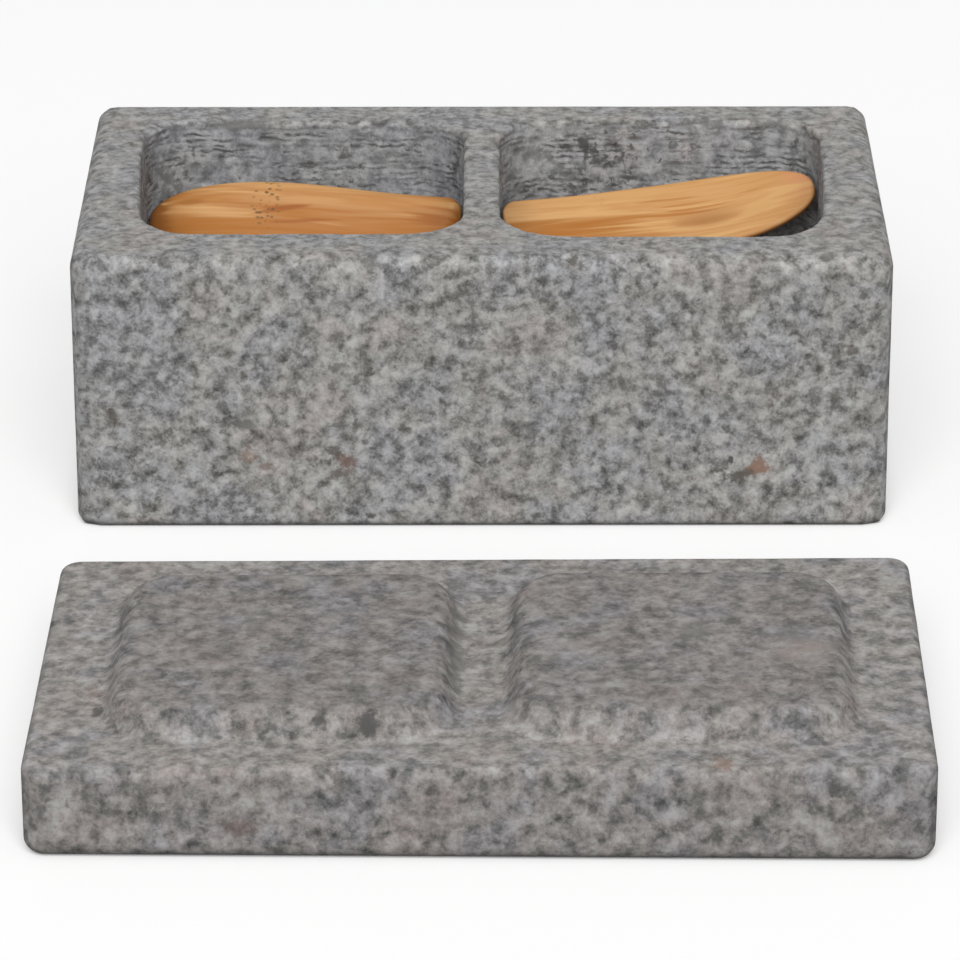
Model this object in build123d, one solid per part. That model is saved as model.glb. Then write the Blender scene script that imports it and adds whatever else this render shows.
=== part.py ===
from build123d import *
import math
import os

# A stone box with two pockets, its loose stone lid laid upside down in front of it,
# and a bamboo spoon leaning in each pocket. Millimetres, +Z up, front towards -Y.
# The origin is the centre of the box's underside.

# Stone box
BOX_LENGTH = 160.0
BOX_DEPTH = 90.0
BOX_HEIGHT = 57.0
UPRIGHT_RADIUS = 4.0
BOX_TOP_EDGE_RADIUS = 3.3
BOX_BOTTOM_EDGE_RADIUS = 1.8

# The two pockets, left and right of a thin divider
DIVIDER_THICKNESS = 7.4
POCKET_WIDTH = 65.4
POCKET_LENGTH = 64.2
POCKET_CENTRE_Y = 0.5
POCKET_DEPTH = 25.0
POCKET_FRONT_CORNER_RADIUS = 13.0
POCKET_BACK_CORNER_RADIUS = 10.0
POCKET_FLOOR_RADIUS = 4.0
POCKET_RIM_RADIUS = 1.0

# Stone lid: a plate with two low bosses that drop into the pockets
LID_LENGTH = 158.4
LID_DEPTH = 89.0
LID_THICKNESS = 17.8
LID_OUTER_EDGE_RADIUS = 3.0
LID_INNER_EDGE_RADIUS = 1.7
BOSS_LENGTH = 62.0
BOSS_DEPTH = 62.8
BOSS_CENTRE_X = 35.4
BOSS_CENTRE_Y = -0.7
BOSS_CORNER_RADIUS = 10.5
BOSS_HEIGHT = 4.5
BOSS_SIDE_SLOPE = 24.0
BOSS_TOP_RADIUS = 1.5
BOSS_FOOT_RADIUS = 1.0

# Where the lid lies on the table
LID_CENTRE_X = 0.1
LID_CENTRE_Y = -141.8
LID_TURN = -0.64

# Bamboo spoon, drawn flat along X with its inner face up
SPOON_LENGTH = 64.2
SPOON_THICKNESS = 3.0
HANDLE_HALF_WIDTH = 7.5
HANDLE_STRAIGHT = 10.0
HANDLE_END_RADIUS = 3.0
BOWL_HALF_WIDTH = 8.4
BOWL_WIDEST_AT = 38.0
TIP_BLUNTNESS = 2.4
TIP_POINTS = 17
BEND_STARTS_AT = 27.0
TIP_RISE = 7.5
BACK_EDGE_RADIUS = 1.9
INNER_EDGE_RADIUS = 0.9
DISH_CENTRE_AT = 42.0
DISH_HALF_LENGTH = 14.0
DISH_HALF_WIDTH = 6.0
DISH_HALF_HEIGHT = 4.0
DISH_DEPTH = 0.9

# Drawing aids: oversize cuts, and how the broad faces and shared seams are told apart
OUTLINE_CUT_HEIGHT = 40.0
STRIP_OVERHANG = 1.0
BEND_OVERRUN = 2.0
BROAD_FACE_AREA = 100.0
SEAM_TOLERANCE = 0.001

# How each spoon leans: roll towards the front, tip raised, tip turned to the back
LEFT_ROLL = 50.0
LEFT_TIP_UP = 4.2
LEFT_TIP_BACK = 0.8
RIGHT_ROLL = 35.0
RIGHT_TIP_UP = 3.0
RIGHT_TIP_BACK = 5.0
LEFT_SPOON_BACK_Y = 26.7
RIGHT_SPOON_BACK_Y = 30.3
SPOON_FLOOR_GAP = 0.3

POCKET_CENTRE_X = DIVIDER_THICKNESS / 2 + POCKET_WIDTH / 2
POCKET_FLOOR_Z = BOX_HEIGHT - POCKET_DEPTH


def rounded_block(length, depth, height, top_radius, bottom_radius):
    """A block on z = 0 with rounded uprights, then a rounded top and bottom outline."""
    block = extrude(RectangleRounded(length, depth, UPRIGHT_RADIUS), height)
    block = fillet(block.faces().sort_by(Axis.Z)[-1].edges(), top_radius)
    return fillet(block.faces().sort_by(Axis.Z)[0].edges(), bottom_radius)


def pocket(centre_x):
    """The space of one pocket: rounder corners in front, and straight walls down to a rounded foot."""
    plan = Rectangle(POCKET_WIDTH, POCKET_LENGTH)
    plan = fillet(plan.vertices().group_by(Axis.Y)[0], POCKET_FRONT_CORNER_RADIUS)
    plan = fillet(plan.vertices().group_by(Axis.Y)[-1], POCKET_BACK_CORNER_RADIUS)
    space = extrude(plan, POCKET_DEPTH)
    space = fillet(space.faces().sort_by(Axis.Z)[0].edges(), POCKET_FLOOR_RADIUS)
    return Pos(centre_x, POCKET_CENTRE_Y, POCKET_FLOOR_Z) * space


def make_box():
    """The block with its two pockets cut out and both rims rounded over."""
    box = rounded_block(BOX_LENGTH, BOX_DEPTH, BOX_HEIGHT, BOX_TOP_EDGE_RADIUS, BOX_BOTTOM_EDGE_RADIUS)
    for side in (-1, 1):
        box = box - pocket(side * POCKET_CENTRE_X)
    top = box.faces().sort_by(Axis.Z)[-1]
    rims = [edge for wire in top.inner_wires() for edge in wire.edges()]
    return fillet(rims, POCKET_RIM_RADIUS)


def boss(centre_x):
    """One low boss with sloping sides, standing on the lid's inner face."""
    plan = RectangleRounded(BOSS_LENGTH, BOSS_DEPTH, BOSS_CORNER_RADIUS)
    body = extrude(plan, BOSS_HEIGHT, taper=BOSS_SIDE_SLOPE)
    body = fillet(body.faces().sort_by(Axis.Z)[-1].edges(), BOSS_TOP_RADIUS)
    return Pos(centre_x, BOSS_CENTRE_Y, LID_THICKNESS) * body


def make_lid():
    """The lid as it lies: outer face on the table, bosses up, a little turned."""
    lid = rounded_block(LID_LENGTH, LID_DEPTH, LID_THICKNESS, LID_INNER_EDGE_RADIUS, LID_OUTER_EDGE_RADIUS)
    for side in (-1, 1):
        lid = lid + boss(side * BOSS_CENTRE_X)
    rim = [face for face in lid.faces().filter_by(Axis.Z) if face.inner_wires()][0]
    feet = [edge for wire in rim.inner_wires() for edge in wire.edges()]
    lid = fillet(feet, BOSS_FOOT_RADIUS)
    return Pos(LID_CENTRE_X, LID_CENTRE_Y, 0) * Rot(0, 0, LID_TURN) * lid


def tip_point(angle):
    """A point of the bowl end, on an ellipse made blunter by a power under one."""
    across, along = math.sin(angle), math.cos(angle)
    power = 2 / TIP_BLUNTNESS
    reach = (SPOON_LENGTH - BOWL_WIDEST_AT) * abs(along) ** power
    return (BOWL_WIDEST_AT + reach, math.copysign(BOWL_HALF_WIDTH * abs(across) ** power, across))


def spoon_outline():
    """The spoon seen from above: straight handle, swelling sides, blunt oval bowl end."""
    sides = []
    for side in (-1, 1):
        handle = Line((0, side * HANDLE_HALF_WIDTH), (HANDLE_STRAIGHT, side * HANDLE_HALF_WIDTH))
        swell = Spline(
            (HANDLE_STRAIGHT, side * HANDLE_HALF_WIDTH),
            (BOWL_WIDEST_AT, side * BOWL_HALF_WIDTH),
            tangents=((1, 0), (1, 0)),
        )
        sides = sides + [handle, swell]
    end = Line((0, -HANDLE_HALF_WIDTH), (0, HANDLE_HALF_WIDTH))
    quarter = math.pi / 2
    inner = [tip_point(-quarter + math.pi * step / (TIP_POINTS - 1)) for step in range(1, TIP_POINTS - 1)]
    widest = [(BOWL_WIDEST_AT, -BOWL_HALF_WIDTH), (BOWL_WIDEST_AT, BOWL_HALF_WIDTH)]
    tip = Spline(widest[0], *inner, widest[1], tangents=((1, 0), (-1, 0)))
    return make_face(Curve() + sides + [end, tip])


def spoon_side():
    """The spoon seen from the side: a flat strip that bends up towards its tip."""
    run = SPOON_LENGTH - BEND_STARTS_AT
    bend_radius = (run**2 + TIP_RISE**2) / (2 * TIP_RISE)
    sweep_angle = math.degrees(math.asin(run / bend_radius)) + BEND_OVERRUN
    half = SPOON_THICKNESS / 2
    centre = (BEND_STARTS_AT, bend_radius)
    under = CenterArc(centre, bend_radius + half, -90, sweep_angle)
    over = CenterArc(centre, bend_radius - half, -90, sweep_angle)
    under_flat = Line((-STRIP_OVERHANG, -half), (BEND_STARTS_AT, -half))
    over_flat = Line((-STRIP_OVERHANG, half), (BEND_STARTS_AT, half))
    start = Line((-STRIP_OVERHANG, -half), (-STRIP_OVERHANG, half))
    finish = Line(under @ 1, over @ 1)
    return make_face(Curve() + [under, over, under_flat, over_flat, start, finish])


def outline_edges(faces):
    """The edges round the outside of a group of faces, without the seams between them."""
    edges = [edge for face in faces for edge in face.edges()]
    outline = []
    for edge in edges:
        same = [e for e in edges if (e.center() - edge.center()).length < SEAM_TOLERANCE]
        if len(same) == 1:
            outline.append(edge)
    return outline


def broad_faces(spoon, side):
    """The flat and the bent face on the inner side (side 1) or the back (side -1)."""
    flats = [f for f in spoon.faces().filter_by(GeomType.PLANE) if f.area > BROAD_FACE_AREA]
    bends = [f for f in spoon.faces().filter_by(GeomType.CYLINDER) if f.area > BROAD_FACE_AREA]
    return [f for f in flats + bends if f.normal_at().Z * side > 0]


def dish():
    """The hollow of the bowl: an ellipsoid tilted to lie along the bend."""
    run = SPOON_LENGTH - BEND_STARTS_AT
    bend_radius = (run**2 + TIP_RISE**2) / (2 * TIP_RISE)
    along = DISH_CENTRE_AT - BEND_STARTS_AT
    rise = bend_radius - math.sqrt(bend_radius**2 - along**2)
    tilt = math.degrees(math.asin(along / bend_radius))
    ellipsoid = scale(Sphere(1), by=(DISH_HALF_LENGTH, DISH_HALF_WIDTH, DISH_HALF_HEIGHT))
    top = SPOON_THICKNESS / 2 + rise
    return Pos(DISH_CENTRE_AT, 0, top + DISH_HALF_HEIGHT - DISH_DEPTH) * Rot(0, -tilt, 0) * ellipsoid


def make_spoon():
    """The spoon drawn flat: outline and side view intersected, edges eased, bowl hollowed."""
    blank = Pos(0, 0, -OUTLINE_CUT_HEIGHT / 2) * extrude(spoon_outline(), OUTLINE_CUT_HEIGHT)
    blank = fillet(blank.edges().filter_by(Axis.Z).sort_by(Axis.X)[:2], HANDLE_END_RADIUS)
    strip = extrude(Plane.XZ * spoon_side(), BOWL_HALF_WIDTH + STRIP_OVERHANG, both=True)
    spoon = blank & strip
    spoon = fillet(outline_edges(broad_faces(spoon, -1)), BACK_EDGE_RADIUS)
    spoon = fillet(outline_edges(broad_faces(spoon, 1)), INNER_EDGE_RADIUS)
    return Pos(-SPOON_LENGTH / 2, 0, 0) * (spoon - dish())


def lean(spoon, pocket_side, roll, tip_up, tip_back, back_y):
    """Roll the spoon towards the front, raise and turn its tip, and set it down in its pocket."""
    leant = Rot(0, 0, pocket_side * tip_back) * Rot(0, -pocket_side * tip_up, 0) * Rot(roll, 0, 0) * spoon
    box = leant.bounding_box()
    shift_x = pocket_side * POCKET_CENTRE_X - (box.min.X + box.max.X) / 2
    shift_z = POCKET_FLOOR_Z + SPOON_FLOOR_GAP - box.min.Z
    return Pos(shift_x, back_y - box.max.Y, shift_z) * leant


def main():
    spoon = make_spoon()
    back_up_spoon = Rot(0, 180, 0) * spoon
    nodes = {
        "stone_body": make_box(),
        "stone_lid": make_lid(),
        "spoon_left": lean(back_up_spoon, -1, LEFT_ROLL, LEFT_TIP_UP, LEFT_TIP_BACK, LEFT_SPOON_BACK_Y),
        "spoon_right": lean(spoon, 1, RIGHT_ROLL, RIGHT_TIP_UP, RIGHT_TIP_BACK, RIGHT_SPOON_BACK_Y),
    }
    os.makedirs("parts", exist_ok=True)
    for node, shape in nodes.items():
        export_step(shape, f"parts/{node}.step")


main()
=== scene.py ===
import math

import bmesh
import bpy
import numpy as np
from bpy.props import FloatProperty, FloatVectorProperty, PointerProperty
from mathutils import Matrix, Vector


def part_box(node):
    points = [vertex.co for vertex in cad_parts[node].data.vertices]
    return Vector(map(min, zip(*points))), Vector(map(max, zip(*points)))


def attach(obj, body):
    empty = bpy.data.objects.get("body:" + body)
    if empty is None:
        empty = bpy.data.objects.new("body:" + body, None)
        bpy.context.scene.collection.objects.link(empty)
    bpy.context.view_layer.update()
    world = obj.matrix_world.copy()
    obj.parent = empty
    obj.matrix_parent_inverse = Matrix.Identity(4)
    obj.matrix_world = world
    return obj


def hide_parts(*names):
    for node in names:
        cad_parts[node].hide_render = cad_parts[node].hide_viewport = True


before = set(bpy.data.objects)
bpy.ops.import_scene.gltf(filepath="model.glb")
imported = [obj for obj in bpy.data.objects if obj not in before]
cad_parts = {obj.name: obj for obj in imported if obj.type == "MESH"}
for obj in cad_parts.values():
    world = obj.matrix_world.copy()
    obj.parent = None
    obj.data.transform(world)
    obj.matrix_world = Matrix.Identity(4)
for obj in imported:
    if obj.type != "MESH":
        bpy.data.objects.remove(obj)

bl_info = {
    "name": "Stone pinch pot",
    "version": (1, 0, 0),
    "blender": (4, 5, 0),
    "location": "View3D > Sidebar > Pinch Pot",
    "description": "A milled stone box with two pockets, its loose bossed lid and two bamboo spoons",
    "category": "Add Mesh",
}

MM = 0.001
QUARTER_TURN = math.pi / 2
FULL_TURN = 2 * math.pi

# Socket numbers of Blender's Mix node when it mixes colours
MIX_A = 6
MIX_B = 7
MIX_COLOUR = 2

# Lengths and parts of a unit normal below this come from rounding
TINY = 1e-9

# Extra rays that round off the block's own standing corners: their spread either way, and their number
CORNER_SPREAD = math.radians(7)
CORNER_STEPS = 6

# Cell size and seed of each noise that shapes a surface
WAVES = (9 * MM, 1)
CRUMBS = (2.1 * MM, 11)
PITS = (1.9 * MM, 21)
MARK_WOBBLE = (9 * MM, 31)
MARK_BREAKS = (5 * MM, 41)
CARVING = (5 * MM, 61)

# How deep the knife's hollows are in the spoons' faces
CARVED_DEPTH = 0.12 * MM

# Painted shade: the stone's colour darkens towards the floor it stands on, where its contact shadow falls: by how
# much, and over which height
PAINTED_FOOT_DARKENING = 0.8
PAINTED_FOOT_REACH = 1.1 * MM

# The torn edge of a stain or mark: how far a noise pushes it, and where it starts and stops fading, in half sizes
SPOT_TEAR = 4.0
SPOT_FADE = (2.4, 3.4)

# The spacing of the milling cutter's marks, and Blender's wave texture scale that draws one band in that height
MARK_SPACING = 1.25 * MM
MARK_SCALE = FULL_TURN / 20 / MARK_SPACING

# The two soft lamps' sizes and places in metres
KEY_SIZE, KEY_PLACE = (4.8, 4.5), (0, -4.57, 4.05)
BACK_SIZE, BACK_PLACE = (4, 1.4), (0, 5.4, 1.15)

# The floor's paint for all but the camera, and the share of plain white that the camera sees in it
FLOOR_WHITE = 0.4
FLOOR_GLOW = 0.5

# Places read from the frame
BOX_LOW, BOX_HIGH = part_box("stone_body")
LID_LOW, LID_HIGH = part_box("stone_lid")
LID_CENTRE = (LID_LOW + LID_HIGH) / 2
POT_LENGTH = BOX_HIGH.x - BOX_LOW.x
POT_DEPTH = BOX_HIGH.y - BOX_LOW.y
POT_HEIGHT = BOX_HIGH.z - BOX_LOW.z


def linear(colour):
    """An sRGB hex colour as the linear red, green and blue that Blender works in."""
    channels = np.array([int(colour[i : i + 2], 16) for i in (1, 3, 5)]) / 255
    low, high = channels / 12.92, ((channels + 0.055) / 1.055) ** 2.4
    return tuple(float(c) for c in np.where(channels <= 0.04045, low, high))


def length(name, description, millimetres):
    """A length property with its default given in millimetres."""
    return FloatProperty(name=name, description=description, default=millimetres * MM, unit="LENGTH")


def angle(name, description, degrees):
    """An angle property with its default given in degrees."""
    return FloatProperty(
        name=name, description=description, default=math.radians(degrees), subtype="ANGLE", unit="ROTATION"
    )


def colour(name, description, code):
    """A colour property with its default given as an sRGB hex code."""
    return FloatVectorProperty(
        name=name, description=description, default=linear(code), subtype="COLOR", size=3, min=0, max=1
    )


class PotSizes(bpy.types.PropertyGroup):
    """Sizes of the stone box."""

    upright_radius: length("Upright radius", "Rounding of the four standing corners", 4.0)
    top_edge: length("Top edge", "Rounding of the outer top edge", 3.3)
    bottom_edge: length("Bottom edge", "Rounding of the outer bottom edge", 1.8)
    divider: length("Divider", "Stone left standing between the two pockets", 7.4)
    pocket_width: length("Pocket width", "Size of a pocket along the box", 65.4)
    pocket_length: length("Pocket length", "Size of a pocket across the box", 64.2)
    pocket_middle: length("Pocket middle", "How far a pocket's middle lies behind the box's", 0.5)
    pocket_depth: length("Pocket depth", "Depth of a pocket below the rim", 25.0)
    pocket_corner: length("Back corner", "Radius the cutter leaves in a pocket's back corners", 10.0)
    front_corner: length("Front corner", "Radius of a pocket's front corners", 13.0)
    toe_in: length("Toe in", "How far a pocket's outer wall runs inwards at its front end", 1.8)
    front_drift: length("Front drift", "How far the right front wall is milled forwards and the left one back", 0.8)
    pocket_foot: length("Pocket foot", "Rounding where wall and floor of a pocket meet", 4.0)
    rim_radius: length("Rim radius", "Rounding of the pocket's rim", 1.0)
    groove_spacing: length("Groove spacing", "Height from one cutter mark to the next on the walls", MARK_SPACING / MM)
    groove_depth: length("Groove depth", "Depth of the cutter marks", 0.12)


class LidSizes(bpy.types.PropertyGroup):
    """Sizes of the lid, which lies with its bosses up."""

    length: length("Length", "Size along the box", 158.3)
    depth: length("Depth", "Size across the box", 88.4)
    plate: length("Plate", "Thickness of the plate without its bosses", 17.75)
    thicker: length("Thicker", "How much thicker the hand-ground plate is at its right end", 0.6)
    deeper: length("Deeper", "How much further each long side stands out at the right end", 0.3)
    upright_radius: length("Upright radius", "Rounding of the four standing corners", 4.0)
    inner_edge: length("Inner edge", "Rounding of the edge on the bossed side", 1.7)
    outer_edge: length("Outer edge", "Rounding of the edge on the outer side", 3.0)
    boss_length: length("Boss length", "Size of a boss at its foot, along the box", 62.0)
    boss_depth: length("Boss depth", "Size of a boss at its foot, across the box", 62.8)
    boss_across: length("Boss place", "How far a boss's middle lies from the lid's middle", 35.4)
    boss_middle: length("Boss middle", "How far a boss's middle lies behind the lid's", -0.7)
    boss_corner: length("Boss corner", "Rounding of a boss's corners at its foot", 10.5)
    boss_slope: angle("Boss slope", "Lean of the boss sides from upright", 31.0)
    boss_top: length("Boss top", "Rounding of the boss's upper edge", 3.5)
    boss_foot: length("Boss foot", "Hollow rounding where a boss meets the plate", 3.0)
    turn: angle("Turn", "How far the lid lies turned from the box", -0.64)


class StoneRelief(bpy.types.PropertyGroup):
    """How far the stone's surface is worn back from its true form."""

    unevenness: length("Unevenness", "Soft waviness left by grinding", 0.12)
    chip_depth: length("Chip depth", "Deepest crumbling along the rims", 0.9)
    edge_reach: length("Edge reach", "How far from a rim the stone has crumbled", 1.7)
    pit_depth: length("Pit depth", "Deepest pores in the milled walls", 0.7)


class SpoonSizes(bpy.types.PropertyGroup):
    """Sizes of a bamboo spoon laid flat, measured from its handle end."""

    length: length("Length", "Whole length", 64.2)
    thickness: length("Thickness", "Thickness of the strip", 3.0)
    handle_half: length("Handle half width", "Half the width of the handle", 7.5)
    handle_straight: length("Handle straight", "Where the handle starts to swell", 10.0)
    end_radius: length("End radius", "Rounding of the handle's corners", 3.0)
    bowl_half: length("Bowl half width", "Half the width of the bowl", 8.4)
    bowl_widest: length("Bowl widest", "Where the bowl is widest", 38.0)
    bluntness: FloatProperty(name="Bluntness", description="2 is an oval tip, more is blunter", default=2.4)
    bend_start: length("Bend start", "Where the strip starts to bend up", 27.0)
    tip_rise: length("Tip rise", "Height of the tip over the flat handle", 7.5)
    back_round: length("Back rounding", "Width of the rounded band along the back's edge", 4.6)
    back_drop: length("Back drop", "Height of that band", 1.9)
    inner_round: length("Inner rounding", "Rounding of the edge on the inner side", 0.8)
    dish_centre: length("Dish centre", "Where the bowl's hollow is deepest", 42.0)
    dish_half_length: length("Dish half length", "Half the length of the hollow", 14.0)
    dish_half_width: length("Dish half width", "Half the width of the hollow", 6.0)
    dish_depth: length("Dish depth", "Depth of the hollow", 0.8)
    left_roll: angle("Left roll", "Lean of the left spoon towards the front", 50.0)
    left_tip_up: angle("Left tip up", "How far the left spoon's tip is raised", 4.2)
    left_tip_back: angle("Left tip back", "How far the left spoon's tip is turned to the back", 0.8)
    right_roll: angle("Right roll", "Lean of the right spoon towards the front", 35.0)
    right_tip_up: angle("Right tip up", "How far the right spoon's tip is raised", 3.0)
    right_tip_back: angle("Right tip back", "How far the right spoon's tip is turned to the back", 5.0)


class StoneColours(bpy.types.PropertyGroup):
    """Colours of the stone's minerals."""

    pore: colour("Pore", "Shade inside pits and pores", "#454442")
    dark: colour("Dark mineral", "Olive grey veins and grains", "#6D6C69")
    middle: colour("Ground mass", "The grey that most of the stone has", "#8E8D8C")
    light: colour("Light mineral", "Pale feldspar flecks", "#AEADAB")
    blue: colour("Blue cloud", "Faint blue grey clouds", "#888B93")
    fresh: colour("Fresh wall", "Blue grey of freshly milled walls", "#9A9DA5")
    olive: colour("Olive cloud", "Greenish grey clouds", "#8C8D84")
    pink: colour("Pink cloud", "Pinkish weathered clouds", "#988B85")
    lid_tint: colour("Lid ground mass", "Warmer grey of the lid", "#8F8A87")
    # Painted shade: multiplied into the lid's rougher sawn faces for the shade of their own pits
    sawn: colour("Sawn shade", "What the lid's rougher sawn faces let through", "#E6E5E6")
    rust: colour("Rust", "Brown iron stain", "#6B5750")
    orange: colour("Orange rust", "Fresher iron stain", "#846656")
    brown: colour("Brown", "Dark brown streak", "#55504A")


class BambooColours(bpy.types.PropertyGroup):
    """Colours of the oiled bamboo."""

    pale: colour("Pale fibre", "Light tan wood between the fibres", "#CB9D68")
    middle: colour("Fibre", "Main orange tan", "#BE8C58")
    deep: colour("Deep fibre", "Darker orange brown streaks", "#A5692D")
    rust: colour("Red streak", "Dark red orange grain streaks", "#914F1F")
    dot: colour("Node dot", "Olive brown fibre ends at the cane's node", "#5E4A2A")
    # Painted shade: the brown laid on the strip's front cut edge and on the left spoon's tip
    edge: colour("Cut edge", "Brown cut edge of the strip", "#8A5428")
    pink: colour("Pink patch", "Pinkish end grain near the tip", "#C98B66")


class StageSettings(bpy.types.PropertyGroup):
    """Camera and light."""

    lens: FloatProperty(name="Lens", description="Focal length in millimetres", default=196.176)
    camera_place: FloatVectorProperty(
        name="Camera", description="Where the camera stands", default=(0.001678, -0.987414, 0.424318), unit="LENGTH"
    )
    pitch: angle("Pitch", "How far the camera looks down", 23.719)
    roll: angle("Roll", "Tilt of the camera about its own axis", -0.108)
    heading: angle("Heading", "Turn of the camera about the vertical", 0.123)
    sky: FloatProperty(name="Sky", description="Strength of the even light from all round", default=0.3)
    key: FloatProperty(name="Key", description="Power of the large soft lamp in watts", default=418.0)
    back: FloatProperty(name="Back", description="Power of the weak soft lamp behind in watts", default=34.0)


def lattice_noise(points, cell, seed):
    """Value noise from -1 to 1: a random number at each corner of a cubic lattice, blended smoothly between."""
    count = 32
    table = np.random.default_rng(seed).uniform(-1, 1, (count, count, count))
    place = points / cell
    corner = np.floor(place).astype(int)
    blend = place - corner
    blend = blend * blend * (3 - 2 * blend)
    total = np.zeros(len(points))
    for step in np.ndindex(2, 2, 2):
        share = np.prod(np.where(step, blend, 1 - blend), axis=1)
        total += share * table[tuple(((corner + step) % count).T)]
    return total


def layered_noise(points, cell, seed, layers):
    """Value noise added up over layers, each half as wide and half as strong as the one before."""
    total = np.zeros(len(points))
    for layer in range(layers):
        total += lattice_noise(points, cell / 2**layer, seed + layer) / 2**layer
    return total


def run_of(start, end, pitch):
    """Points from start up to, but not including, end, no further apart than pitch give or take rounding."""
    start, end = np.asarray(start, float), np.asarray(end, float)
    steps = max(1, math.ceil(np.linalg.norm(end - start) / pitch - 1e-6))
    return start + (end - start) * (np.arange(steps) / steps)[:, None]


def eased_profile(corners, radii, pitch, arc_steps):
    """A profile of straight runs with a tangent arc at each inner corner.

    The arc leaves the run radius x tan(half the turn) before the corner, and its centre stands radius off the run.
    """
    rows = []
    start = np.asarray(corners[0], float)
    for before, corner, after, radius in zip(corners, corners[1:], corners[2:], radii):
        into = np.subtract(corner, before) / np.linalg.norm(np.subtract(corner, before))
        out = np.subtract(after, corner) / np.linalg.norm(np.subtract(after, corner))
        turn = math.atan2(into[0] * out[1] - into[1] * out[0], into @ out)
        tangent = radius * math.tan(abs(turn) / 2)
        arc_start = corner - tangent * into
        side = math.copysign(1, turn) * np.array([-into[1], into[0]])
        centre = arc_start + radius * side
        if np.linalg.norm(arc_start - start) > TINY:
            rows.append(run_of(start, arc_start, pitch))
        swing = np.linspace(0, turn, arc_steps, endpoint=False)
        spoke = -radius * side
        turned = np.stack(
            [spoke[0] * np.cos(swing) - spoke[1] * np.sin(swing), spoke[0] * np.sin(swing) + spoke[1] * np.cos(swing)],
            axis=1,
        )
        rows.append(centre + turned)
        start = corner + tangent * out
    rows.append(run_of(start, corners[-1], pitch) if np.linalg.norm(corners[-1] - start) > TINY else start[None])
    rows.append(np.asarray(corners[-1], float)[None])
    profile = np.concatenate(rows)
    apart = np.linalg.norm(np.diff(profile, axis=0), axis=1) > TINY
    return profile[np.concatenate([apart, [True]])]


def corner_swing(aim, turn_steps, spread, spread_steps):
    """Angles of a quarter turn: even steps, with finer ones close round the aim, which is one of them."""
    even = np.linspace(0, QUARTER_TURN, turn_steps + 1)
    fine = aim + np.linspace(-spread, spread, 2 * spread_steps + 1)
    fine[spread_steps] = aim
    return np.sort(np.concatenate([even[np.abs(even - aim) > 1.1 * spread], fine]))


def pocket_loop(pocket, block, pitch, turn_steps):
    """Core points and outward normals round one pocket, counterclockwise from its outer back corner.

    Along a side the core point moves and the normal stays. At a corner the normal makes a quarter turn, with one
    of its steps aimed exactly at the corner of that half of the block, and the core point stays, or goes round
    on a small arc where that corner's own radius is larger than the profile's.
    """
    cores, normals = [], []
    signs = np.array([(1, 1), (-1, 1), (-1, -1), (1, -1)])
    radii = np.array([pocket["corner"], pocket["corner"], pocket["front_corner"], pocket["front_corner"]])
    extra = radii - pocket["corner"]
    corners = np.asarray(pocket["centre"]) + signs * (pocket["half"] - radii[:, None])
    targets = np.stack([np.where(signs[:, 0] > 0, block[0], 0), signs[:, 1] * block[1]], axis=1)
    for k in range(4):
        start = k * QUARTER_TURN
        to_target = targets[k] - corners[k]
        aim = (math.atan2(to_target[1], to_target[0]) - start) % FULL_TURN
        swing = corner_swing(aim, turn_steps, CORNER_SPREAD, CORNER_STEPS)
        turned = np.stack([np.cos(start + swing), np.sin(start + swing)], axis=1)
        cores.append(corners[k] + extra[k] * turned)
        normals.append(turned)
        following = (k + 1) % 4
        side = run_of(cores[-1][-1], corners[following] + extra[following] * turned[-1], pitch)[1:]
        cores.append(side)
        normals.append(np.repeat(turned[-1:], len(side), axis=0))
    return np.concatenate(cores), np.concatenate(normals)


def carried_out(core, normal, block, corner_radius):
    """Each loop point carried along its own normal until it meets the outline of the right half of the block."""
    with np.errstate(divide="ignore", invalid="ignore"):
        across = np.where(normal[:, 0] > 0, block[0] - core[:, 0], -core[:, 0]) / normal[:, 0]
        along = (np.sign(normal[:, 1]) * block[1] - core[:, 1]) / normal[:, 1]
    across = np.where(np.abs(normal[:, 0]) < TINY, np.inf, across)
    along = np.where(np.abs(normal[:, 1]) < TINY, np.inf, along)
    reach = np.minimum(across, along)
    met = core + reach[:, None] * normal
    centre = np.stack(
        [np.full(len(met), block[0] - corner_radius), np.sign(met[:, 1]) * (block[1] - corner_radius)], axis=1
    )
    gap = core - centre
    toward = np.sum(gap * normal, axis=1)
    root = toward**2 - np.sum(gap**2, axis=1) + corner_radius**2
    on_corner = (met[:, 0] > centre[:, 0]) & (np.abs(met[:, 1]) > np.abs(centre[:, 1]))
    round_reach = -toward + np.sqrt(np.maximum(root, 0))
    return core + np.where(on_corner, round_reach, reach)[:, None] * normal


def raised(plan, height):
    """Plan points lifted to a height, as rows of three coordinates."""
    return np.concatenate([plan, np.full(plan.shape[:-1] + (1,), height)], axis=-1)


def profile_rows(profile, core, normal):
    """A profile of (offset, height) pairs carried round a loop: core + offset x normal, at each height."""
    return np.stack([raised(core + offset * normal, height) for offset, height in profile])


def blended_rows(first, last, steps):
    """Rows that go straight from one loop to another, both ends left out."""
    share = np.arange(1, steps)[:, None, None] / steps
    return first[None] * (1 - share) + last[None] * share


def quads_of(grid, closed):
    """Points and quads of a rows x columns grid; closed joins its last column to its first."""
    rows, columns = grid.shape[:2]
    index = np.arange(rows * columns).reshape(rows, columns)
    if closed:
        index = np.concatenate([index, index[:, :1]], axis=1)
    quads = np.stack([index[:-1, :-1], index[:-1, 1:], index[1:, 1:], index[1:, :-1]], axis=-1)
    return grid.reshape(-1, 3), quads.reshape(-1, 4)


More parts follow.
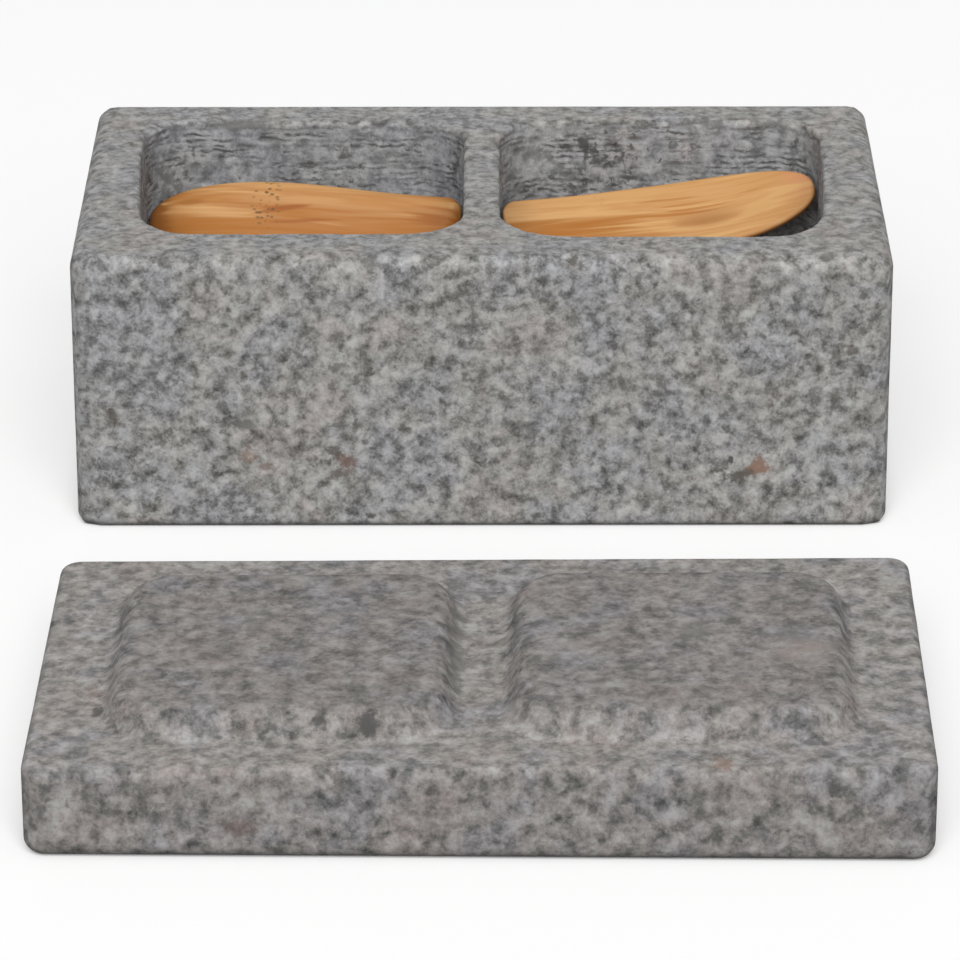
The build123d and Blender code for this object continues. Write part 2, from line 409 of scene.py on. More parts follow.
def half_of_stone(block, shell_profile, pocket, pocket_profile, counts):
    """Point grids of the right half of a stone block with one pocket or boss.

    The rows run from the middle of the underside out to the edge, up the sides, in across the top to the pocket's
    rim, and along the pocket's profile to its middle. Sides are left out along the plane where the halves meet.
    """
    core, normal = pocket_loop(pocket, block["top"], counts["pitch"], counts["turn"])
    outline = carried_out(core, normal, block["top"], block["top_corner"])
    outer_core = np.clip(outline, -block["core"], block["core"])
    spoke = outline - outer_core
    reach = np.linalg.norm(spoke, axis=1)
    on_side = reach > block["top_corner"] - TINY
    outer_normal = spoke / np.maximum(reach, TINY)[:, None]

    bottom = raised(outer_core + shell_profile[0][0] * outer_normal, shell_profile[0][1])
    seam_scale = (block["core"][1] + shell_profile[0][0]) / block["top"][1]
    bottom[~on_side, :2] = outline[~on_side] * (1, seam_scale)
    middle = np.broadcast_to([*pocket["centre"], shell_profile[0][1]], bottom.shape)
    underside = np.concatenate([middle[None], blended_rows(middle, bottom, counts["underside"]), bottom[None]])

    start = np.flatnonzero(on_side & ~np.roll(on_side, 1))[0]
    columns = np.roll(np.arange(len(core)), -start)[: on_side.sum()]
    sides = profile_rows(shell_profile, outer_core[columns], outer_normal[columns])

    top_loop = raised(outline, shell_profile[-1][1])
    inside = profile_rows(pocket_profile, core, normal)
    last_middle = np.broadcast_to([*pocket["centre"], pocket_profile[-1][1]], top_loop.shape)
    top = np.concatenate(
        [
            top_loop[None],
            blended_rows(top_loop, inside[0], counts["rim"]),
            inside,
            blended_rows(inside[-1], last_middle, counts["floor"]),
            last_middle[None],
        ]
    )
    return [(underside, True), (sides, False), (top, True)]


def mirrored_mesh(name, half):
    """A mesh of a half and its mirror image in x = 0, with doubled points merged and faces outwards."""
    points, quads, count = [], [], 0
    for grid, closed in half:
        for side in (1, -1):
            at, faces = quads_of(grid, closed)
            points.append(at * (side, 1, 1))
            quads.append(faces[:, ::side] + count)
            count += len(at)
    mesh = bpy.data.meshes.new(name)
    mesh.from_pydata(np.concatenate(points).tolist(), [], np.concatenate(quads).tolist())
    return merged(mesh)


def merged(mesh):
    """The mesh with its doubled points merged, which also closes its seams and poles."""
    body = bmesh.new()
    body.from_mesh(mesh)
    bmesh.ops.remove_doubles(body, verts=body.verts, dist=0.001 * MM)
    bmesh.ops.dissolve_degenerate(body, edges=body.edges, dist=0.0001 * MM)
    body.to_mesh(mesh)
    body.free()
    return mesh


def read_points(mesh):
    """Vertex places and unit normals of a mesh as two arrays."""
    points = np.empty(len(mesh.vertices) * 3)
    mesh.vertices.foreach_get("co", points)
    normals = np.empty(len(mesh.vertices) * 3)
    mesh.vertex_normals.foreach_get("vector", normals)
    return points.reshape(-1, 3), normals.reshape(-1, 3)


def write_points(mesh, points):
    """Puts vertex places back into a mesh."""
    mesh.vertices.foreach_set("co", points.astype(np.float32).ravel())
    mesh.update()


def keep_attribute(mesh, name, values):
    """Stores one number or one vector per vertex under a name that a material can read."""
    kind, field = ("FLOAT", "value") if values.ndim == 1 else ("FLOAT_VECTOR", "vector")
    attribute = mesh.attributes.new(name, kind, "POINT")
    attribute.data.foreach_set(field, values.astype(np.float32).ravel())


def plan_distance(points, centre, core, radius):
    """Distance in plan from the nearer of two mirrored rounded rectangles, negative inside: length beyond the
    core, less the radius."""
    beyond = np.abs(np.stack([np.abs(points[:, 0]), points[:, 1]], axis=1) - centre) - core
    outside = np.linalg.norm(np.maximum(beyond, 0), axis=1)
    return outside + np.minimum(beyond.max(axis=1), 0) - radius


def near(distance, reach):
    """1 at distance 0, falling smoothly to almost nothing past the reach."""
    return np.exp(-((distance / reach) ** 2))


def weather(mesh, worn, tooled, sizes, relief):
    """Sinks each vertex along its normal by its wear, never outwards, and keeps the masks for the material.

    Wear is soft waviness everywhere, crumbling where a noise and the rim mask are both high, and, where the stone
    was milled, pits at a noise's peaks and level cutter marks, a broken cosine of the height. An underside keeps
    its true form.
    """
    points, normals = read_points(mesh)
    wave = relief.unevenness * (1 + layered_noise(points, *WAVES, 3) / 2) / 2

    # A noise times its contrast, shifted, and cut off at 0 and 1, leaves the islands where the wear is;
    # the factors on x and z stretch the islands along the wall
    torn = np.clip(1.8 * layered_noise(points * (0.7, 1, 1), *CRUMBS, 2), 0, 1)
    pitted = tooled * np.clip(2.2 * lattice_noise(points * (0.8, 1, 1), *PITS) - 1.15, 0, 1)
    wobble = 0.9 * lattice_noise(points * (1, 1, 3), *MARK_WOBBLE)
    broken = np.clip(0.55 + 1.2 * layered_noise(points * (1, 1, 2.5), *MARK_BREAKS, 2), 0, 1)
    marks = tooled * broken * (0.5 + 0.5 * np.cos(FULL_TURN * points[:, 2] / sizes.groove_spacing + wobble))
    crumble = relief.chip_depth * worn * torn
    pits = relief.pit_depth * pitted
    upward = 1 - np.clip(-normals[:, 2], 0, 1)
    depth = (wave + crumble + pits + sizes.groove_depth * marks) * upward
    write_points(mesh, points - normals * depth[:, None])

    # What the material reads: milled walls, the parts of them with cutter marks, sunk places together with a painted
    # shade along the foot of the stone, and faces that were ground level
    keep_attribute(mesh, "tooled", tooled)
    keep_attribute(mesh, "grooved", tooled * broken)
    # Painted shade along the foot, where the stone stands in its contact shadow
    foot_shade_paint = PAINTED_FOOT_DARKENING * near(points[:, 2], PAINTED_FOOT_REACH)
    keep_attribute(mesh, "sunk_plus_foot_shade", np.clip(worn * torn + pitted + foot_shade_paint, 0, 1))
    keep_attribute(mesh, "honed", np.clip((normals[:, 2] - 0.9) / 0.1, 0, 1) * (1 - np.clip(worn, 0, 1)))


def smooth(mesh):
    """Shades every face smooth."""
    mesh.polygons.foreach_set("use_smooth", np.ones(len(mesh.polygons), bool))
    mesh.update()


def add_piece(mesh, material, body, node):
    """Links a mesh as a piece that rides on a body and stands for a CAD node."""
    mesh.materials.append(material)
    smooth(mesh)
    piece = bpy.data.objects.new(mesh.name, mesh)
    bpy.context.scene.collection.objects.link(piece)
    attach(piece, body)
    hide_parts(node)


def make_pot_mesh(sizes, relief):
    """The stone box: its outer sides, its flat rim and two pockets carried round their rounded loops."""
    half = np.array([POT_LENGTH / 2, POT_DEPTH / 2])
    radius, top_edge, bottom_edge = sizes.upright_radius, sizes.top_edge, sizes.bottom_edge
    opening = np.array([sizes.pocket_width, sizes.pocket_length]) / 2
    centre = np.array([(sizes.divider + sizes.pocket_width) / 2, sizes.pocket_middle])
    floor = POT_HEIGHT - sizes.pocket_depth
    corner, rim, foot = sizes.pocket_corner, sizes.rim_radius, sizes.pocket_foot
    shell = eased_profile(
        [(radius - bottom_edge, 0), (radius, 0), (radius, POT_HEIGHT), (radius - top_edge, POT_HEIGHT)],
        [bottom_edge, top_edge],
        pitch=1.3 * MM,
        arc_steps=7,
    )
    walls = eased_profile(
        [(corner + rim, POT_HEIGHT), (corner, POT_HEIGHT), (corner, floor), (corner - foot, floor)],
        [rim, foot],
        pitch=0.42 * MM,
        arc_steps=4,
    )
    block = {"core": half - radius, "top": half - top_edge, "top_corner": radius - top_edge}
    pocket = {"centre": centre, "half": opening, "corner": corner, "front_corner": sizes.front_corner}
    counts = {"pitch": 0.8 * MM, "turn": 18, "rim": 12, "floor": 10, "underside": 6}
    mesh = mirrored_mesh("milled_stone_box", half_of_stone(block, shell, pocket, walls, counts))

    # The rims have crumbled, the back ones most and the front ones hardly; only the upright walls keep tool marks
    points, normals = read_points(mesh)
    wall_gap = plan_distance(points, centre, opening - corner, corner)
    below_rim = POT_HEIGHT - points[:, 2]
    worn = near(np.hypot(np.maximum(wall_gap - rim / 2, 0), below_rim), relief.edge_reach) * (wall_gap < 4 * rim)
    worn = worn * np.clip(points[:, 1] / opening[1], 0.12, 1)
    in_pocket = (wall_gap < 0.3 * rim) & (points[:, 2] > floor + foot / 2)
    upright = np.clip(1.4 * np.hypot(*normals.T[:2]) - 0.4, 0, 1)
    tooled = in_pocket * np.clip((below_rim - rim / 2) / rim, 0, 1) * upright
    weather(mesh, worn, tooled, sizes, relief)

    # The two front walls differ a little, and the outer walls run in towards the front: two shifts, each a
    # parabola round its wall that is 0 short of the box's own sides, and the second grows from the middle forwards
    points, _ = read_points(mesh)
    side = np.clip(points[:, 0] / (2 * corner), -1, 1)
    reach = 0.75 * corner + rim
    from_front = (points[:, 1] - centre[1] + opening[1]) / reach
    from_outer = (np.abs(points[:, 0]) - centre[0] - opening[0]) / reach
    forwards = np.clip((corner - points[:, 1]) / opening[1], 0, 1)
    points[:, 1] -= sizes.front_drift * side * np.clip(1 - from_front**2, 0, 1)
    points[:, 0] -= sizes.toe_in * side * forwards * np.clip(1 - from_outer**2, 0, 1)
    write_points(mesh, points)
    return mesh


def make_lid_mesh(sizes, pot, relief):
    """The lid as it lies: a plate with two low bosses with sloping sides, carried round their rounded loops.

    The hand-ground plate is a slight wedge: height and depth grow in proportion to x.
    """
    half = np.array([sizes.length, sizes.depth]) / 2
    radius, inner, outer = sizes.upright_radius, sizes.inner_edge, sizes.outer_edge
    foot_half = np.array([sizes.boss_length, sizes.boss_depth]) / 2
    centre = np.array([sizes.boss_across, sizes.boss_middle])
    plate, top, foot = sizes.plate, LID_HIGH.z, sizes.boss_corner
    crown = foot - (top - plate) * math.tan(sizes.boss_slope)
    shell = eased_profile(
        [(radius - outer, 0), (radius, 0), (radius, plate), (radius - inner, plate)],
        [outer, inner],
        pitch=1.0 * MM,
        arc_steps=6,
    )
    boss = eased_profile(
        [(foot + sizes.boss_foot, plate), (foot, plate), (crown, top), (crown - sizes.boss_top, top)],
        [sizes.boss_foot, sizes.boss_top],
        pitch=0.6 * MM,
        arc_steps=5,
    )
    block = {"core": half - radius, "top": half - inner, "top_corner": radius - inner}
    pocket = {"centre": centre, "half": foot_half, "corner": foot, "front_corner": foot}
    counts = {"pitch": 0.9 * MM, "turn": 18, "rim": 12, "floor": 28, "underside": 6}
    mesh = mirrored_mesh("bossed_stone_lid", half_of_stone(block, shell, pocket, boss, counts))

    # Only the level margin round the bosses is ground; no rim has crumbled and nothing is milled
    points, normals = read_points(mesh)
    level = np.clip(4 * normals[:, 2] - 3, 0, 1)
    off_plate = np.maximum(np.abs(points[:, 2] - plate) - inner / 2, 0)
    ground = level * near(off_plate, 0.6 * MM)
    untouched = np.zeros(len(points))
    weather(mesh, untouched, untouched, pot, relief)
    # The painted shade of the rougher sawn faces goes everywhere but on the ground margin
    keep_attribute(mesh, "sawn", 1 - ground)
    points, _ = read_points(mesh)
    share = points[:, 0] / half[0]
    growth = share[:, None] * (0, sizes.deeper / half[1], sizes.thicker / plate)
    write_points(mesh, points * (1 + growth))
    mesh.transform(Matrix.Translation((LID_CENTRE.x, LID_CENTRE.y, 0)) @ Matrix.Rotation(sizes.turn, 4, "Z"))
    return mesh


def spoon_outline(sizes):
    """Half the spoon's plan from the middle of its handle end to its tip: a line, a corner arc, a straight side,
    a smooth swell (3u^2 - 2u^3) to the widest place, and a quarter of a blunted ellipse, whose cosine and sine
    are raised to the power 2 / bluntness."""
    half, corner = sizes.handle_half, sizes.end_radius
    counts = {"end": 6, "corner": 9, "side": 9, "swell": 41, "tip": 43}
    end = np.stack([np.zeros(counts["end"]), np.linspace(0, half - corner, counts["end"], endpoint=False)], axis=1)
    swing = np.linspace(math.pi, QUARTER_TURN, counts["corner"])
    arc = np.stack([corner + corner * np.cos(swing), half - corner + corner * np.sin(swing)], axis=1)
    straight_x = np.linspace(corner, sizes.handle_straight, counts["side"] + 1)[1:]
    straight = np.stack([straight_x, np.full(counts["side"], half)], axis=1)
    share = np.linspace(0, 1, counts["swell"] + 1)[1:]
    swell_x = sizes.handle_straight + (sizes.bowl_widest - sizes.handle_straight) * share
    swell_y = half + (sizes.bowl_half - half) * share**2 * (3 - 2 * share)
    sweep = np.linspace(QUARTER_TURN, 0, counts["tip"] + 1)[1:]
    along, across = np.clip([np.cos(sweep), np.sin(sweep)], 0, 1) ** (2 / sizes.bluntness)
    tip_x = sizes.bowl_widest + (sizes.length - sizes.bowl_widest) * along
    tip = np.stack([tip_x, sizes.bowl_half * across], axis=1)
    return np.concatenate([end, arc, straight, np.stack([swell_x, swell_y], axis=1), tip])


def spoon_spine(outline, sizes):
    """Where each outline point's normal meets the middle line: straight across along the sides, drawn in by
    1 - (b / a)^2 on the elliptical tip, and held 1.4 corner radii off the handle's end."""
    tip_length = sizes.length - sizes.bowl_widest
    drawn_in = 1 - (sizes.bowl_half / tip_length) ** 2
    past = np.maximum(outline[:, 0] - sizes.bowl_widest, 0)
    along = np.maximum(np.minimum(outline[:, 0], sizes.bowl_widest), 1.4 * sizes.end_radius)
    return np.stack([along + past * drawn_in, np.zeros(len(outline))], axis=1)


def rounded_drop(inset, width, drop):
    """How far a face falls towards its edge: a quarter ellipse as wide as the rounding."""
    return drop * (1 - np.sqrt(1 - (1 - np.clip(inset / width, 0, 1)) ** 2))


def spoon_grid(sizes):
    """The flat spoon as rows from the middle of its back, round its edge, to the middle of its inner side.

    Each row is the outline moved towards the spine; the heights are the strip's half thickness less the edge's
    rounding, and on the inner side less the bowl's hollow, a cap (1 - r^2)^1.3 that is 0 past an ellipse.
    """
    counts = {"edge": 8, "back": 11, "inner": 23}
    side = spoon_outline(sizes)
    outline = np.concatenate([side, side[-2:0:-1] * (1, -1)])[::-1]
    spine = spoon_spine(outline, sizes)
    reach = np.linalg.norm(outline - spine, axis=1)
    edge = 1 - np.cos(np.linspace(0, QUARTER_TURN, counts["edge"]))
    back_inset = [sizes.back_round * e * np.minimum(1, reach / sizes.back_round) for e in edge]
    back_shares = np.linspace(0, 1, counts["back"] + 1)[1:]
    back_rest = [back_inset[-1] + (reach - back_inset[-1]) * share for share in back_shares]
    inner_inset = [np.full(len(reach), sizes.inner_round * e) for e in edge]
    inner_shares = np.linspace(0, 1, counts["inner"] + 1)[1:]
    inner_rest = [inner_inset[-1] + (reach - inner_inset[-1]) * share for share in inner_shares]
    half = sizes.thickness / 2
    rows = []
    for inset in (back_inset + back_rest)[::-1]:
        plan = outline + (spine - outline) * (inset / reach)[:, None]
        height = -half + rounded_drop(inset, sizes.back_round, sizes.back_drop)
        rows.append(np.concatenate([plan, height[:, None]], axis=1))
    for inset in inner_inset + inner_rest:
        plan = outline + (spine - outline) * (inset / reach)[:, None]
        spread = ((plan[:, 0] - sizes.dish_centre) / sizes.dish_half_length) ** 2
        spread = spread + (plan[:, 1] / sizes.dish_half_width) ** 2
        hollow = sizes.dish_depth * np.clip(1 - spread, 0, 1) ** 1.3
        height = half - rounded_drop(inset, sizes.inner_round, sizes.inner_round) - hollow
        rows.append(np.concatenate([plan, height[:, None]], axis=1))
    return np.stack(rows)


def bent(points, sizes):
    """Points past the bend's start turned about its centre, so that the tip rises as on an arc."""
    run = sizes.length - sizes.bend_start
    radius = (run**2 + sizes.tip_rise**2) / (2 * sizes.tip_rise)
    past = np.maximum(points[:, 0] - sizes.bend_start, 0)
    swing = np.arcsin(np.clip(past / radius, 0, 1))
    along = np.minimum(points[:, 0], sizes.bend_start) + (radius - points[:, 2]) * np.sin(swing)
    return np.stack([along, points[:, 1], radius - (radius - points[:, 2]) * np.cos(swing)], axis=1)


def make_spoon_mesh(name, node, sizes, side, back_up, lean):
    """One spoon, bent, turned over if its back is up, leant as it lies, and centred on its CAD node.

    Its tip points to the outside: side is -1 in the left pocket and 1 in the right one. The lean is its roll, and
    how far its tip is raised and turned to the back.
    """
    roll, tip_up, tip_back = lean
    points, quads = quads_of(spoon_grid(sizes), True)
    flat = points.copy()

    # Painted shade: the cut edge is browned over the middle two fifths of the strip's thickness, on the side towards
    # the front
    layer = np.abs(flat[:, 2]) / sizes.thickness
    painted_edge_shade = np.clip(2.2 - 6 * layer, 0, 1) * np.clip(0.4 - flat[:, 1] / (4 * MM), 0, 1)

    # Both faces keep the soft hollows of hand carving, which are longest along the strip
    carved = CARVED_DEPTH * layered_noise(points * (0.35, 1, 1), *CARVING, 2)
    points[:, 2] += carved * np.clip(2 * layer, 0, 1)
    points = bent(points, sizes) - (sizes.length / 2, 0, 0)
    mesh = bpy.data.meshes.new(name)
    mesh.from_pydata(points.tolist(), [], quads.tolist())
    keep_attribute(mesh, "grain_place", flat)
    keep_attribute(mesh, "painted_edge_shade", painted_edge_shade)
    merged(mesh)
    turn = Matrix.Rotation(side * tip_back, 4, "Z")
    turn = turn @ Matrix.Rotation(-side * tip_up, 4, "Y") @ Matrix.Rotation(roll, 4, "X")
    if back_up:
        turn = turn @ Matrix.Rotation(math.pi, 4, "Y")
    mesh.transform(turn)
    placed, _ = read_points(mesh)
    low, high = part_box(node)
    mesh.transform(Matrix.Translation((low + high) / 2 - Vector((placed.min(axis=0) + placed.max(axis=0)) / 2)))
    return mesh


def add_node(tree, kind, values=None, links=None, stops=None, **settings):
    """Adds a node, with its settings, its unlinked sockets' values, its links and, on a ramp, its stops."""
    node = tree.nodes.new(kind)
    for name, value in settings.items():
        setattr(node, name, value)
    for socket, value in (values or {}).items():
        node.inputs[socket].default_value = value
    for socket, source in (links or {}).items():
        tree.links.new(source, node.inputs[socket])
    if stops:
        elements = node.color_ramp.elements
        while len(elements) < len(stops):
            elements.new(1.0)
        for element, (place, shade) in zip(elements, stops):
            element.position = place
            element.color = (*shade, 1.0)
    return node


def new_material(name):
    """An empty material with a Principled shader, and its node tree."""
    material = bpy.data.materials.new(name)
    material.use_nodes = True
    return material, material.node_tree, material.node_tree.nodes["Principled BSDF"]


def with_spots(tree, place, ragged, finished, colours, spots):
    """The finished colour with ovals of other shades laid over it, each at its own place and with a torn edge.

    An oval is the length of the place measured in its own half sizes, pushed about by the ragged noise.
    """
    for at, half_sizes, turn, strength, shade in spots:
        oval = add_node(
            tree,
            "ShaderNodeMapping",
            {"Location": [v * MM for v in at], "Scale": [v * MM for v in half_sizes], "Rotation": (0, 0, turn)},
            {"Vector": place},
            vector_type="TEXTURE",
        )
        distance = add_node(tree, "ShaderNodeVectorMath", links={0: oval.outputs["Vector"]}, operation="LENGTH")
        torn = add_node(
            tree,
            "ShaderNodeMath",
            {1: SPOT_TEAR},
            {0: ragged, 2: distance.outputs["Value"]},
            operation="MULTIPLY_ADD",
        )
        amount = add_node(
            tree,
            "ShaderNodeMapRange",
            {"From Min": SPOT_FADE[0], "From Max": SPOT_FADE[1], "To Min": strength, "To Max": 0.0},
            {"Value": torn.outputs["Value"]},
            interpolation_type="SMOOTHSTEP",
        )
        finished = add_node(
            tree,
            "ShaderNodeMix",
            {MIX_B: (*getattr(colours, shade), 1)},
            {0: amount.outputs["Result"], MIX_A: finished},
            data_type="RGBA",
        ).outputs[MIX_COLOUR]
    return finished


# Stains and dark grains: place and half sizes in millimetres, turn, strength and shade
BOX_STAINS = (
    ((-26.6, -45, 14.2), (1.9, 3, 1.8), 0, 0.85, "rust"),
    ((-28.9, -45, 16.4), (1.3, 3, 1.2), 0, 0.7, "brown"),
    ((-29.9, -45, 13.9), (0.7, 3, 0.8), 0, 0.85, "pore"),
    ((-21.9, -45, 2.4), (1.4, 3, 0.8), 0, 0.85, "pore"),
    ((-45.5, -45, 24.4), (2.1, 3, 0.6), 0, 0.75, "dark"),
    ((-45.6, -45, 22.1), (1.7, 3, 0.6), 0, 0.75, "dark"),
    ((-24.8, -45, 22.7), (0.6, 3, 2.1), 0, 0.6, "pore"),
    ((-27.0, -45, 34.6), (1.9, 3, 0.7), 0, 0.6, "dark"),
    ((-21.5, -45, 55.4), (1.9, 3, 0.9), 0, 0.6, "dark"),
    ((-28.9, -45, 11.6), (1.3, 3, 1.5), 0, 0.7, "brown"),
    ((-45.7, -45, 15.7), (1.5, 3, 1.4), 0, 0.5, "orange"),
    ((-42.4, -45, 13.1), (1.7, 3, 1.1), 0, 0.5, "rust"),
    ((54.6, -45, 13.2), (2.1, 3, 2.0), 0, 0.85, "orange"),
    ((49.5, -45, 11.2), (3.2, 3, 1.1), 0, 0.9, "brown"),
    ((46.1, -45, 12.2), (1.9, 3, 0.7), 0, 0.9, "brown"),
    ((49.0, -45, 14.7), (0.6, 3, 1.0), 0, 0.9, "pore"),
    ((72.1, -45, 37.6), (1.7, 3, 1.1), 0, 0.7, "brown"),
    ((69.0, -45, 28.1), (1.3, 3, 1.3), 0, 0.55, "brown"),
    ((-72.7, -45, 24.0), (1.6, 3, 2.1), 0, 0.5, "brown"),
    ((17.9, -43, 56.0), (1.7, 3, 0.9), 0, 0.8, "brown"),
    ((27.3, -37, 57.0), (1.0, 0.8, 2), 0, 0.8, "pore"),
    ((-59.8, 31, 50.0), (0.6, 3, 1.4), 0, 1.0, "pore"),
    ((-64.0, 29, 44.8), (2.2, 5, 2.6), 0, 0.7, "dark"),
    ((-66.5, 26, 54.7), (2.2, 4, 1.8), 0, 0.6, "dark"),
    ((-49.7, 32, 56.5), (4.5, 2.4, 0.9), 0, 0.8, "dark"),
    ((-29.0, 32, 49.3), (1.4, 3, 0.6), 0, 0.7, "pore"),
    ((-5.4, 26, 49.8), (0.9, 5, 2.2), 0, 0.7, "pore"),
    ((10.8, 31, 50.4), (2.6, 4, 2.7), 0, 0.6, "dark"),
    ((17.6, 32, 51.6), (1.4, 3, 0.7), 0, 0.9, "pore"),
    ((21.1, 32, 52.5), (1.7, 3, 1.4), 0, 0.9, "pore"),
    ((21.5, 32, 49.8), (0.7, 3, 1.6), 0, 0.9, "pore"),
    ((45.5, 32, 56.8), (6.0, 2.2, 0.9), 0, 0.7, "dark"),
    ((60.0, 31, 56.8), (3.4, 2.2, 0.9), 0, 0.6, "dark"),
    ((64.8, 28, 53.0), (0.9, 4, 1.2), 0, 0.8, "pore"),
)
LID_STAINS = (
    ((-41.4, -186.0, 6.4), (2.0, 3, 1.6), 0, 0.45, "rust"),
    ((-39.6, -176.7, 20.0), (1.0, 3.0, 1.0), 0, 0.8, "pore"),
    ((-43.0, -173.6, 20.0), (1.0, 2.4, 0.9), 0, 0.7, "pore"),
    ((-28.6, -173.3, 20.0), (1.3, 2.6, 1.4), 0, 0.8, "pore"),
    ((-19.6, -171.7, 20.2), (1.9, 2.4, 1.2), 0, 0.8, "pore"),
    ((-19.2, -174.8, 19.0), (0.9, 2.4, 1.2), 0, 0.7, "pore"),
    ((-13.2, -174.1, 20.0), (1.0, 2.4, 1.2), 0, 0.7, "pore"),
    ((-24.9, -186.0, 15.8), (1.6, 3.0, 2.2), 0, 0.7, "brown"),
    ((41.6, -184.0, 17.7), (2.0, 2.0, 2), 0, 0.45, "orange"),
    ((-68.4, -154.6, 17.7), (1.6, 3.6, 2), 0, 0.5, "rust"),
    ((-67.3, -161.6, 17.7), (1.3, 2.0, 2), 0, 0.7, "pore"),
    ((38.5, -139.6, 22.2), (4.6, 4.0, 2), 0, 0.5, "dark"),
    ((55.4, -142.5, 22.2), (3.4, 3.4, 2), 0, 0.55, "dark"),
    ((56.7, -148.5, 22.2), (5.0, 4.4, 2), 0, 0.45, "pink"),
    ((-42.5, -134.8, 22.2), (6.0, 5.0, 2), 0, 0.3, "dark"),
    ((-4.6, -137.0, 17.7), (1.7, 26.0, 2), 0, 0.6, "dark"),
    ((-12.4, -169.3, 17.7), (1.8, 2.6, 3), 0, 0.8, "pore"),
)


def mineral_mottle(tree, place, clouds, coarseness):
    """The stone's light and dark: a mottle from 3 mm down to the grit, less soft blots of 1 to 2 mm that run
    together here and there, plus the grey of each crystal grain. The mottle alone comes back first."""
    mottle = add_node(
        tree,
        "ShaderNodeTexNoise",
        {"Scale": 1 / (2.6 * MM * coarseness), "Detail": 4.0, "Roughness": 0.7, "Distortion": 0.1},
        {"Vector": place},
    ).outputs["Fac"]

    # Blots lie where a noise of 1.9 mm falls low, crowded by the clouds, their edges frayed by its finer layers
    blotting = add_node(
        tree,
        "ShaderNodeTexNoise",
        {"Scale": 1 / (1.9 * MM * coarseness), "Detail": 2.0, "Roughness": 0.6, "Distortion": 0.35},
        {"Vector": place},
    ).outputs["Fac"]
    crowded = add_node(tree, "ShaderNodeMath", {1: 0.35}, {0: clouds, 2: blotting}, operation="MULTIPLY_ADD")
    blots = add_node(
        tree,
        "ShaderNodeMapRange",
        {"From Min": 0.52, "From Max": 0.66, "To Min": 0.085, "To Max": 0.0},
        {"Value": crowded.outputs["Value"]},
        interpolation_type="SMOOTHSTEP",
    )
    tone = add_node(tree, "ShaderNodeMath", links={0: mottle, 1: blots.outputs["Result"]}, operation="SUBTRACT")

    # Crystal grains about 0.8 mm across, each of its own grey
    grains = add_node(tree, "ShaderNodeTexVoronoi", {"Scale": 1 / (0.8 * MM)}, {"Vector": place})
    grain_grey = add_node(tree, "ShaderNodeSeparateColor", links={"Color": grains.outputs["Color"]})
    grained = add_node(
        tree,
        "ShaderNodeMath",
        {1: 0.05},
        {0: grain_grey.outputs["Red"], 2: tone.outputs["Value"]},
        operation="MULTIPLY_ADD",
    )
    return mottle, grained.outputs["Value"]


def cutter_marks(tree, place):
    """How strong the milling cutter's mark is, 0 to 1: wavy level bands, broken into dashes by a noise that is
    stretched along the wall, and only where the mesh says that the wall was milled."""
    bands = add_node(
        tree,
        "ShaderNodeTexWave",
        {"Scale": MARK_SCALE, "Distortion": 6.0, "Detail": 3.0, "Detail Scale": 1.3},
        {"Vector": place},
        bands_direction="Z",
    )
    along_wall = add_node(
        tree, "ShaderNodeMapping", {"Scale": (1 / (2.2 * MM), 1 / (2.2 * MM), 1 / (0.9 * MM))}, {"Vector": place}
    )
    dashing = add_node(
        tree,
        "ShaderNodeTexNoise",
        {"Scale": 1.0, "Detail": 3.0, "Roughness": 0.65},
        {"Vector": along_wall.outputs["Vector"]},
    )
    dashes = add_node(
        tree,
        "ShaderNodeMapRange",
        {"From Min": 0.42, "From Max": 0.54, "To Min": 0.1},
        {"Value": dashing.outputs["Fac"]},
    )
    dashed = add_node(
        tree, "ShaderNodeMath", links={0: bands.outputs["Fac"], 1: dashes.outputs["Result"]}, operation="MULTIPLY"
    )
    grooved = add_node(tree, "ShaderNodeAttribute", attribute_name="grooved")
    return add_node(
        tree, "ShaderNodeMath", links={0: dashed.outputs["Value"], 1: grooved.outputs["Fac"]}, operation="MULTIPLY"
    ).outputs["Value"]


def open_pores_plus_foot_shade(tree, place, clouds, milled):
    """How open the stone is, 0 to 1: pores 1 to 2 mm wide, in groups, in the milled walls, and wherever the mesh
    is pitted or crumbled. The same mask also carries the painted shade along the stone's foot."""
    holes = add_node(
        tree,
        "ShaderNodeTexNoise",
        {"Scale": 1 / (2 * MM), "Detail": 3.0, "Roughness": 0.6, "Distortion": 0.4},
        {"Vector": place},
    ).outputs["Fac"]
    grouped = add_node(tree, "ShaderNodeMath", {1: 0.6}, {0: clouds, 2: holes}, operation="MULTIPLY_ADD")
    cut_open = add_node(
        tree,
        "ShaderNodeMapRange",
        {"From Min": 0.9, "From Max": 1.04},
        {"Value": grouped.outputs["Value"]},
        interpolation_type="SMOOTHSTEP",
    )
    in_walls = add_node(tree, "ShaderNodeMath", links={0: cut_open.outputs["Result"], 1: milled}, operation="MULTIPLY")
    # Pits, crumbled rims and the painted shade along the stone's foot, as the mesh gives them
    sunk_plus_foot_shade = add_node(tree, "ShaderNodeAttribute", attribute_name="sunk_plus_foot_shade")
    return add_node(
        tree, "ShaderNodeMath", links={0: in_walls.outputs["Value"], 1: sunk_plus_foot_shade.outputs["Fac"]}, operation="MAXIMUM"
    ).outputs["Value"]


